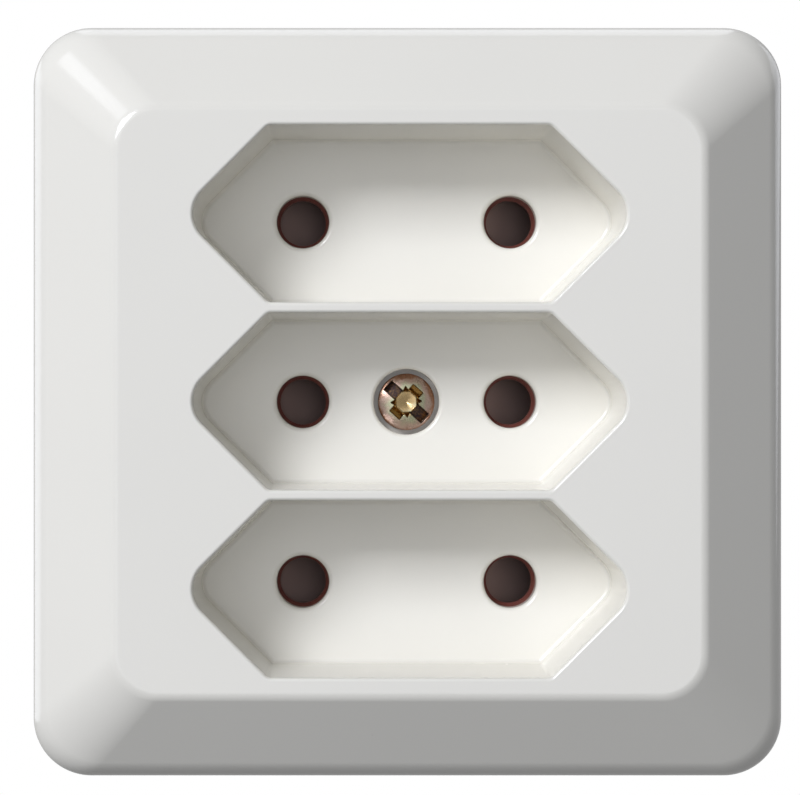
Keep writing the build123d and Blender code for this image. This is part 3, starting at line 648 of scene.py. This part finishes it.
class SOCKET_OT_finishes(bpy.types.Operator):
    """Makes every finish and gives the CAD nodes theirs"""

    bl_idname = "socket.finishes"
    bl_label = "Finishes"

    def execute(self, context):
        tints = context.scene.socket_finish
        skin, dust, metal_skin = moulded_skin_group(), settled_dust_group(), metal_skin_group()
        grey, brown = (0.42, 0.40, 0.36), (0.30, 0.27, 0.24)
        # tint, blur, its spread, drift, relief in metres, amount of dust and its tint
        for name, *look in (
            ("white_cover_plastic", tints.cover_tint, tints.cover_roughness, 0.05, 0.012, 1.5e-6, 0.55, grey),
            ("white_base_plastic", tints.base_tint, 0.48, 0.10, 0.03, 1.2e-5, 0.6, (0.35, 0.33, 0.29)),
            ("brown_plastic", tints.brown_tint, tints.brown_roughness, 0.12, 0.10, 6e-6, 0.5, brown),
            # painted light: a lighter copy of the brown plastic for the shutters
            ("shutter_plastic", tints.shutter_painted_light_tint, tints.brown_roughness, 0.08, 0.10, 4e-6, 0.3, brown),
        ):
            plastic(name, skin, dust, *look)
        yellow_plating(metal_skin, tints)
        # tint, stain and its amount, blur, grain along one axis and relief in metres
        for name, *look in (
            ("bright_zinc", tints.zinc_tint, (0.42, 0.43, 0.45), 0.4, 0.28, EVEN, 6e-6),
            ("spring_steel", tints.steel_tint, (0.25, 0.23, 0.21), 0.35, 0.26, (0.15, 1.0, 1.0), 4e-6),
            ("brass", tints.brass_tint, (0.48, 0.30, 0.12), 0.45, 0.27, (1.0, 0.15, 1.0), 6e-6),
            ("bronze", tints.bronze_tint, (0.38, 0.20, 0.10), 0.45, 0.25, (1.0, 1.0, 0.15), 6e-6),
        ):
            metal(name, metal_skin, *look)
        slots = {part["node"]: part["material_slot"] for part in frame["record"]["subparts"]}
        for node, piece in frame["nodes"].items():
            if not piece.material_slots:
                piece.data.materials.append(None)
            for holder in piece.material_slots:
                # the shutters take the lightened copy of the brown plastic, which is painted light
                holder.material = finished("shutter_plastic" if node.endswith("_shutter") else slots[node])
        return {"FINISHED"}


# Pieces


def cup_union(s):
    """Outline of the three cups behind the wells, from their top edge down to the last notch and back up:
    neighbouring cups cross on their slanted sides, half a pitch from each middle."""
    shift = s.cup_wall * math.tan(math.pi / 8)
    high = s.well_height / 2 + s.cup_wall
    flat = s.well_flat / 2 + shift
    tip, half = flat + high, s.pitch / 2
    right, radii = [(flat, -s.pitch - high)], [s.corner_radius + s.cup_wall]
    for middle in (-s.pitch, 0.0, s.pitch):
        right.append((tip, middle))
        radii.append(s.tip_radius + s.cup_wall)
        if middle < s.pitch:
            right.append((tip - half, middle + half))
            radii.append(0.0)
    right.append((flat, s.pitch + high))
    radii.append(radii[0])
    left = [(-x, z) for x, z in reversed(right)]
    return rounded(right + left, radii + radii[::-1], steps=6, runs=3, closed=True)


class SOCKET_OT_cover(bpy.types.Operator):
    """Makes the white cover as one welded skin: skirt, bevel, flat front, wells, holes and the inside"""

    bl_idname = "socket.cover"
    bl_label = "Cover"

    def shell(self, skin, s):
        """Section of the skirt and bevel carried round rounded squares. The corner radius follows the
        half-width at the same rate on the skirt and at the bevel's own rate on the bevel. Above and below,
        a V-shaped score line is pressed into the skirt round each knock-out, down to one plane."""
        draft = math.tan(s.side_draft)
        slope = (FRONT_LEVEL - s.rim_level) / (s.rim_half - s.plateau_half)
        inner_half = s.rim_half - s.wall
        inner_rim = s.rim_level + s.wall * slope - s.wall * math.hypot(1, slope)
        inner_top = FRONT_LEVEL - s.face_thickness
        inner_top_half = inner_half - (inner_top - inner_rim) / slope
        score_level = s.knockout_level - s.score_width / 2
        skirt = [SKIRT_LEVEL, score_level - s.score_width / 2, score_level, s.knockout_level]
        corners = [
            (inner_top_half, inner_top),
            (inner_half, inner_rim),
            (inner_half + (inner_rim - SKIRT_LEVEL) * draft, SKIRT_LEVEL),
            *((s.rim_half + (s.rim_level - level) * draft, level) for level in skirt),
            (s.rim_half, s.rim_level),
            (s.plateau_half, FRONT_LEVEL),
            (s.plateau_half - s.wall, FRONT_LEVEL),
        ]
        radii = [0] * (3 + len(skirt)) + [s.rim_fillet, s.plateau_fillet, 0]
        runs = 6  # faces along each straight line; the last line only gives the front's direction
        profile = rounded(corners, radii, s.round_steps, runs, closed=False)
        places, normals, marks = (part[:-runs] for part in profile)
        half, level = places.T
        bevel_rate = (s.rim_corner - s.plateau_corner) / (s.rim_half - s.plateau_half)
        inner_corner, inner_top_corner = s.rim_corner - s.wall, s.plateau_corner - s.wall / 2
        front_rate = 1.5  # at the end of the plateau's rounding
        rate = np.ones(len(half))
        rate[: runs + 1] = (inner_corner - inner_top_corner) / (inner_half - inner_top_half)
        rate[np.argmax(marks > 0) :] = bevel_rate
        rate[-s.round_steps - 1 :] = np.linspace(bevel_rate, front_rate, s.round_steps + 1)
        corner = inner_top_corner + np.concatenate([[0], np.cumsum(np.diff(half) * (rate[1:] + rate[:-1]) / 2)])
        reach = s.rim_half - s.rim_corner
        near, score, far = (np.array([s.score_width, s.score_width / 2, 0]) - s.knockout_half) / -reach
        outer = np.linspace(far, 1, s.side_steps)
        along = np.concatenate([-outer[::-1], [-score], np.linspace(-near, near, s.side_steps), [score], outer[:-1]])
        centres, facing = square_ring(along, s.arc_steps)
        flat = centres[None] * (half - corner)[:, None, None] + facing[None] * corner[:, None, None]
        score_plane = s.rim_half + (s.rim_level - s.knockout_level) * draft - s.score_depth
        aside = np.abs(centres[:, 0]) - score
        below = (level < score_level + SAME) & (half > score_plane)
        at_top = below & (level > score_level - SAME)
        cut = below[:, None] & (np.abs(aside) < SAME) | at_top[:, None] & (aside < SAME)
        cut &= np.abs(facing[:, 1]) > 1 - SAME
        flat[..., 1] = np.where(cut, facing[:, 1] * score_plane, flat[..., 1])
        spread = (centres * facing).sum(1)[None]
        lean = normals[:, 1, None] * (spread * (1 - rate[:, None]) + rate[:, None])
        turned = lifted(facing[None] * normals[:, 0, None, None], lean)
        skin.grid(lifted(flat, level[:, None]), turned, np.repeat(marks[:, None], len(centres), 1), cut=cut)
        return flat[0], flat[-1], inner_top

    def execute(self, context):
        s = context.scene.socket_cover
        skin = Skin()
        inner_loop, plateau_loop, inner_top = self.shell(skin, s)
        floor = FRONT_LEVEL - s.well_depth
        back = floor - s.floor_thickness

        # the wells, from the flat front down to their floors
        high, flat = s.well_height / 2, s.well_flat / 2
        tip = flat + high
        hexagon = [(tip, 0), (flat, high), (-flat, high), (-tip, 0), (-flat, -high), (flat, -high)]
        radii = [s.tip_radius, s.corner_radius, s.corner_radius] * 2
        ring, facing, _ = rounded(hexagon, radii, s.well_arc_steps, s.well_side_steps, closed=True)
        foot = -s.well_depth * math.tan(s.well_draft)
        run = [(1, FRONT_LEVEL), (0, FRONT_LEVEL), (foot, floor), (foot - 1, floor)]
        wall = section(run, [0, s.lip, s.floor_fillet, 0], s.round_steps, runs=10, ends=2)

        # pin holes and the screw's seat, passage and boss
        radius = s.pin_hole / 2
        run = [(radius + 1, floor), (radius, floor), (radius, back)]
        pin = section(run, [0, s.pin_mouth, 0], s.round_steps, runs=4, ends=1)
        seat, hole, passage, boss = floor - s.seat_depth, s.screw_hole / 2, s.passage / 2, s.boss_diameter / 2
        run = [(hole + 1, floor), (hole, floor), (hole, seat), (passage, seat)]
        run += [(passage, s.boss_level), (boss, s.boss_level), (boss, back)]
        screw = section(run, [0, s.screw_mouth, 0, 0, 0, 0, 0], s.round_steps, runs=4, ends=1)

        mouths, back_holes = [], []
        for row in (1, 0, -1):
            lift = np.array([0, row * s.pitch])
            mouth_loop, floor_loop = skin.sweep(ring + lift, facing, wall)
            mouths.append(mouth_loop)
            holes = [(side * s.pin_spacing / 2, s.pin_steps, pin) for side in (-1, 1)]
            if row == 0:
                holes.append((0, s.seat_steps, screw))
            borders = [skin.sweep(*circle_ring(x, lift[1], steps), profile) for x, steps, profile in holes]
            back_holes += [bottom for _, bottom in borders]
            skin.fill([floor_loop, *(top for top, _ in borders)], floor, 1)
        skin.fill([plateau_loop, *mouths], FRONT_LEVEL, 1)

        # the inside: behind the flat front, round the cups and behind the floors
        cups, cup_facing, _ = cup_union(s)
        side = np.array([[0.0, back], [0.0, inner_top]]), np.array([[1.0, 0.0]] * 2), np.zeros(2)
        skin.sweep(cups, cup_facing, side)
        skin.fill([inner_loop, cups], inner_top, -1)
        skin.fill([cups, *back_holes], back, -1)
        place(skin.mesh("cover_moulding"), "white_cover_plastic", "cover")
        return {"FINISHED"}


class SOCKET_OT_cover_screw(bpy.types.Operator):
    """Makes the cover screw: a domed head with its driver recess and a threaded shank"""

    bl_idname = "socket.cover_screw"
    bl_label = "Cover screw"

    def recess(self, s, x, z):
        """Depth of the recess and the share of painted shade in it. Along the long slot and across it, a
        step between two smooth edges cuts each slot, the cross slot deepens towards the middle, a shallow
        cone forms the eight-sided pit, and four small notches stand between the slots. The painted shade is
        most in the long slot, less in the cross slot and the notches, and there is none in the pit."""
        turn = s.slot_angle
        along = x * math.cos(turn) + z * math.sin(turn)
        across = -x * math.sin(turn) + z * math.cos(turn)
        blur = 0.00008  # width of the soft edges
        cross_shallow, cross_fall = 0.25, 0.65  # the cross slot's depth at its ends, and what it gains inwards
        pit_rim, pit_slope = 0.8, 0.36  # depth at the pit's rim, and the slope of its cone
        notch_reach, notch_slope, notch_point = 0.70 * s.pit_diameter, 0.55, 0.00002
        notch_end, notch_run, notch_share = 0.74 * s.pit_diameter, 0.24 * s.pit_diameter, 0.75
        # shares of painted shade in the cross slot and in the notches
        cross_shade, notch_shade = 0.42, 0.55

        def inside(distance):
            """1 well inside, 0 outside and smooth over a narrow edge."""
            t = np.clip(0.5 - distance / blur, 0, 1)
            return t * t * (3 - 2 * t)

        def wedge(value, parts):
            """The angle to the nearest of equal parts of a turn."""
            part = TURN / parts
            return np.mod(value, part) - part / 2

        main = inside(np.maximum(np.abs(along) - s.long_slot / 2, np.abs(across) - s.long_slot_width / 2))
        cross = inside(np.maximum(np.abs(across) - s.cross_slot / 2, np.abs(along) - s.cross_slot_width / 2))
        reach = np.clip((s.cross_slot / 2 - np.abs(across)) / (s.cross_slot / 2 - s.pit_diameter / 2), 0, 1)
        radius, bearing = np.hypot(x, z), np.arctan2(across, along)
        side_angle = math.pi / 8
        pit = inside(radius * np.cos(wedge(bearing + side_angle, 8)) - s.pit_diameter / 2 * math.cos(side_angle))
        cone = s.slot_depth * pit_rim + pit_slope * np.clip(s.pit_diameter / 2 - radius, 0, 1)
        outwards = radius * np.cos(wedge(bearing, 4))
        sideways = radius * np.abs(np.sin(wedge(bearing, 4)))
        flank = sideways - notch_slope * np.clip(notch_reach - outwards, 0, 1) - notch_point
        notch = inside(np.maximum(outwards - notch_reach, flank))
        notch_depth = s.slot_depth * np.clip((notch_end - radius) / notch_run, 0, 1) * notch_share
        depth = np.maximum(main * s.slot_depth, cross * s.slot_depth * (cross_shallow + cross_fall * reach))
        depth = np.maximum(depth, notch * notch_depth)
        depth = np.maximum(depth * (1 - pit), pit * cone)
        # painted shade: darkest in the long slot, lighter in the cross slot and the notches
        recess_shade = main + (1 - main) * (cross_shade * cross + notch_shade * notch * (1 - cross))
        recess_shade *= 1 - pit
        return depth, np.clip(recess_shade, 0, 1)

    def execute(self, context):
        s = context.scene.socket_screw
        top = s.head_level
        edge = top - s.dome_height
        seat = edge - s.edge_height
        head = s.head_diameter / 2

        # a square grid drawn into a disc: x = u * sqrt(1 - v * v / 2), and the same for z
        steps = s.head_steps
        v, u = np.meshgrid(np.linspace(-1, 1, steps), np.linspace(-1, 1, steps), indexing="ij")
        disc_x, disc_z = u * np.sqrt(1 - v * v / 2) * head, v * np.sqrt(1 - u * u / 2) * head
        turn = s.slot_angle
        x = disc_x * math.cos(turn) - disc_z * math.sin(turn)
        z = disc_x * math.sin(turn) + disc_z * math.cos(turn)
        radius = np.clip(np.hypot(x, z) / head, 0, 1)
        # the dome falls with the square of the radius and rolls over at the rim
        roll_power, roll_share = 12, 0.1
        roll = 1 - np.sqrt(np.clip(1 - radius**roll_power, 0, 1))
        dome = top - s.dome_height * ((1 - roll_share) * radius**2 + roll_share * roll)
        depth, recess_shade = self.recess(s, x, z)
        points = np.stack([x, depth - dome, z], -1)
        normals = np.cross(np.gradient(points, axis=1), np.gradient(points, axis=0))
        normals *= -np.sign(normals[..., 1:2])
        skin = Skin()
        # the head's grid carries the recess's painted shade in its edge attribute
        skin.grid(points, normals, recess_shade, closed=False)

        # the head's side and underside follow the disc's border
        border = np.concatenate([points[0, :-1], points[:-1, -1], points[-1, :0:-1], points[:0:-1, 0]])
        ring = border[:, [0, 2]]
        side = np.array([[0.0, edge], [0.0, seat]]), np.array([[1.0, 0.0]] * 2), np.zeros(2)
        skin.sweep(ring, unit(ring), side)
        skin.fill([ring], seat, -1)
        place(skin.mesh("cover_screw_body"), "yellow_zinc", "cover_screw")

        # the shank: a triangular thread whose crest climbs one pitch in each turn, fading out at the tip
        rows_per_turn, fade_in, fade_out = 8, 12, 10
        start, taper = 0.0002, 0.0006  # the shank starts inside the head, and its tip is tapered
        run = SCREW_TIP_LEVEL - seat
        rows = int(-run / s.thread_pitch * rows_per_turn)
        bearing = np.linspace(0, TURN, s.turn_steps, endpoint=False)
        climb, bearing = np.meshgrid(np.linspace(0, 1, rows + 1), bearing, indexing="ij")
        level = seat + start + (run - start) * climb
        tooth = np.abs(2 * np.mod((seat - level) / s.thread_pitch - bearing / TURN, 1) - 1)
        fade = np.clip(climb * rows / fade_in, 0, 1) * np.clip((1 - climb) * rows / fade_out, 0, 1)
        tapered = taper * np.clip(1 - (level - SCREW_TIP_LEVEL) / taper, 0, 1)
        radius = s.shank_diameter / 2 - s.thread_depth * (1 - tooth) * fade - tapered
        points = lifted(compass(bearing) * radius[..., None], level)
        normals = np.cross(np.gradient(points, axis=0), np.gradient(points, axis=1))
        normals[(normals * points)[..., [0, 2]].sum(-1) < 0] *= -1
        skin = Skin()
        skin.grid(points, normals)
        for row, front in ((0, 1), (-1, -1)):
            skin.fill([points[row][:, [0, 2]]], level[row, 0], front)
        place(skin.mesh("cover_screw_shank"), "yellow_zinc", "cover_screw")
        return {"FINISHED"}


class SOCKET_OT_shutter_springs(bpy.types.Operator):
    """Makes the three shutter springs as still coils, though the real springs shorten as the shutters slide. At
    share t of a spring the wire's middle has gone t times the coils round the axis and t times the free length along it"""

    bl_idname = "socket.shutter_springs"
    bl_label = "Shutter springs"

    def execute(self, context):
        s = context.scene.socket_spring
        for outlet in ("upper", "middle", "lower"):
            node = f"{outlet}_shutter_spring"
            low, high = (np.array(corner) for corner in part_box(node))
            middle = (low + high) / 2
            radius = (high[2] - low[2] - s.wire) / 2
            free = high[0] - low[0] - s.wire
            climb = np.linspace(0, 1, s.coils * s.coil_steps + 1)[:, None]
            turn = TURN * s.coils * climb
            zero = np.zeros_like(turn)
            out = np.concatenate([zero[..., None], compass(turn)], -1)
            along = zero + free / (TURN * s.coils)
            ahead = unit(np.stack([along, -radius * np.sin(turn), radius * np.cos(turn)], -1))
            axis = np.stack([low[0] + s.wire / 2 + free * climb, zero + middle[1], zero + middle[2]], -1)
            centre = out * radius + axis
            around = np.linspace(0, TURN, s.wire_steps, endpoint=False)[None, :, None]
            facing = out * np.cos(around) + np.cross(ahead, out) * np.sin(around)
            points = centre + facing * s.wire / 2
            skin = Skin()
            skin.grid(points, facing)
            for end, sign in ((0, -1), (-1, 1)):
                cap = np.stack([points[end], np.broadcast_to(centre[end], points[end].shape)])
                skin.grid(cap, np.broadcast_to(ahead[end] * sign, cap.shape))
            piece = place(skin.mesh(f"{outlet}_spring_wire"), "spring_steel", node)
            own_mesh(piece)
        return {"FINISHED"}


# Studio


def lamp(name, position, aim, size, power, tint, tall=1.0, across=(1.0, 0.0, 0.0)):
    """A softbox at a position, aimed at a place. Its width runs along the direction across, and tall is its
    height as a share of its width."""
    light = bpy.data.lights.new(name, "AREA")
    light.shape = "RECTANGLE"
    light.size, light.size_y = size, size * tall
    light.energy = power
    light.color = tint
    holder = bpy.data.objects.new(name, light)
    bpy.context.scene.collection.objects.link(holder)
    holder.location = position
    away = unit(np.array(position) - np.array(aim))
    up = unit(np.cross(away, across))
    holder.rotation_mode = "QUATERNION"
    holder.rotation_quaternion = Matrix(np.stack([np.cross(up, away), up, away], 1).tolist()).to_quaternion()


class SOCKET_OT_studio(bpy.types.Operator):
    """Sets the camera, the lamps, the pale floor and the white surroundings"""

    bl_idname = "socket.studio"
    bl_label = "Studio"

    def execute(self, context):
        s = context.scene.socket_studio
        scene = context.scene
        scene.view_settings.view_transform = "Standard"

        camera = bpy.data.cameras.new("camera")
        camera.sensor_width = 36.0
        camera.lens = s.lens
        camera.shift_x, camera.shift_y = s.shift_right, s.shift_up
        camera.clip_start, camera.clip_end = 0.01, 20.0
        holder = bpy.data.objects.new("camera", camera)
        scene.collection.objects.link(holder)
        holder.location = (s.camera_right, -s.camera_back, s.camera_up)
        holder.rotation_euler = (math.pi / 2, 0.0, 0.0)
        scene.camera = holder

        tint = s.light_tint
        lamp("key_softbox", s.key_place, s.aim, s.key_size, s.key_power, tint)
        across = (1.0, 0.0, 1.0)
        lamp("strip_softbox", s.strip_place, s.aim, s.strip_size, s.strip_power, tint, s.strip_share, across)
        lamp("front_fill", s.front_place, s.aim, s.front_size, s.front_power, tint)
        for side in ("right", "left", "above"):
            position = getattr(s, f"fill_{side}_place")
            lamp(f"fill_{side}", position, s.fill_aim, s.fill_size, s.fill_power, tint)

        # a finite pale floor below the socket, out of the main camera's sight
        spread = np.linspace(-s.floor_half, s.floor_half, s.floor_steps)
        v, u = np.meshgrid(spread, spread, indexing="ij")
        points = np.stack([u, v, np.full_like(u, -s.floor_drop)], -1).reshape(-1, 3)
        faces = quads(np.arange(len(points)).reshape(u.shape))
        mesh = bpy.data.meshes.new("studio_floor")
        mesh.from_pydata(points.tolist(), [], faces.tolist())
        floor = bpy.data.objects.new("studio_floor", mesh)
        scene.collection.objects.link(floor)
        graph, out = finish("studio_paper")
        tone = graph.span(graph.noise(graph.position(), 9.0, 3.0), 0.3, 0.7)
        paper = graph.mix(tone, rgba((0.80, 0.80, 0.79)), rgba((0.77, 0.77, 0.76)))
        shader = graph.add("BsdfPrincipled", {"Base Color": paper, "Roughness": 0.9, "Specular IOR Level": 0.2})
        graph.join(shader.outputs[0], out.inputs[0])
        mesh.materials.append(finished("studio_paper"))
        floor.visible_diffuse = floor.visible_glossy = False

        # white for the camera and for reflections, an even low light for the rest
        world = bpy.data.worlds.new("surroundings")
        scene.world = world
        world.use_nodes = True
        graph = Graph(world.node_tree)
        path = graph.add("LightPath").outputs
        reflected = graph.maths("MAXIMUM", path["Is Glossy Ray"], path["Is Transmission Ray"])
        seen = graph.maths("MAXIMUM", path["Is Camera Ray"], reflected)
        even = graph.add("Background", {"Color": rgba(s.light_tint), "Strength": s.ambient})
        level = graph.plus(s.mirrored, graph.times(path["Is Camera Ray"], 1.0 - s.mirrored))
        white = graph.add("Background", {"Color": (1.0, 1.0, 1.0, 1.0), "Strength": level})
        mixed = graph.add("MixShader", {0: seen, 1: even.outputs[0], 2: white.outputs[0]})
        graph.add("OutputWorld", {0: mixed.outputs[0]})
        return {"FINISHED"}


class SOCKET_PT_panel(bpy.types.Panel):
    """Settings and steps of the socket"""

    bl_idname = "SOCKET_PT_panel"
    bl_label = "Socket"
    bl_space_type = "VIEW_3D"
    bl_region_type = "UI"
    bl_category = "Socket"

    def draw(self, context):
        for operator in OPERATORS:
            self.layout.operator(operator.bl_idname)
        for holder in SETTINGS:
            settings = getattr(context.scene, holder)
            box = self.layout.box()
            for name in settings.__annotations__:
                box.prop(settings, name)


SETTINGS = {
    "socket_cover": CoverSettings,
    "socket_screw": ScrewSettings,
    "socket_spring": SpringSettings,
    "socket_finish": FinishSettings,
    "socket_studio": StudioSettings,
}
OPERATORS = (SOCKET_OT_studio, SOCKET_OT_finishes, SOCKET_OT_cover, SOCKET_OT_cover_screw, SOCKET_OT_shutter_springs)


def register():
    for kind in (*SETTINGS.values(), *OPERATORS, SOCKET_PT_panel):
        bpy.utils.register_class(kind)
    for name, kind in SETTINGS.items():
        setattr(bpy.types.Scene, name, PointerProperty(type=kind))


def unregister():
    for name in SETTINGS:
        delattr(bpy.types.Scene, name)
    for kind in reversed((*SETTINGS.values(), *OPERATORS, SOCKET_PT_panel)):
        bpy.utils.unregister_class(kind)


def main():
    register()
    bpy.ops.socket.studio()
    bpy.ops.socket.finishes()
    bpy.ops.socket.cover()
    bpy.ops.socket.cover_screw()
    bpy.ops.socket.shutter_springs()
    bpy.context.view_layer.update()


if __name__ == "__main__":
    main()
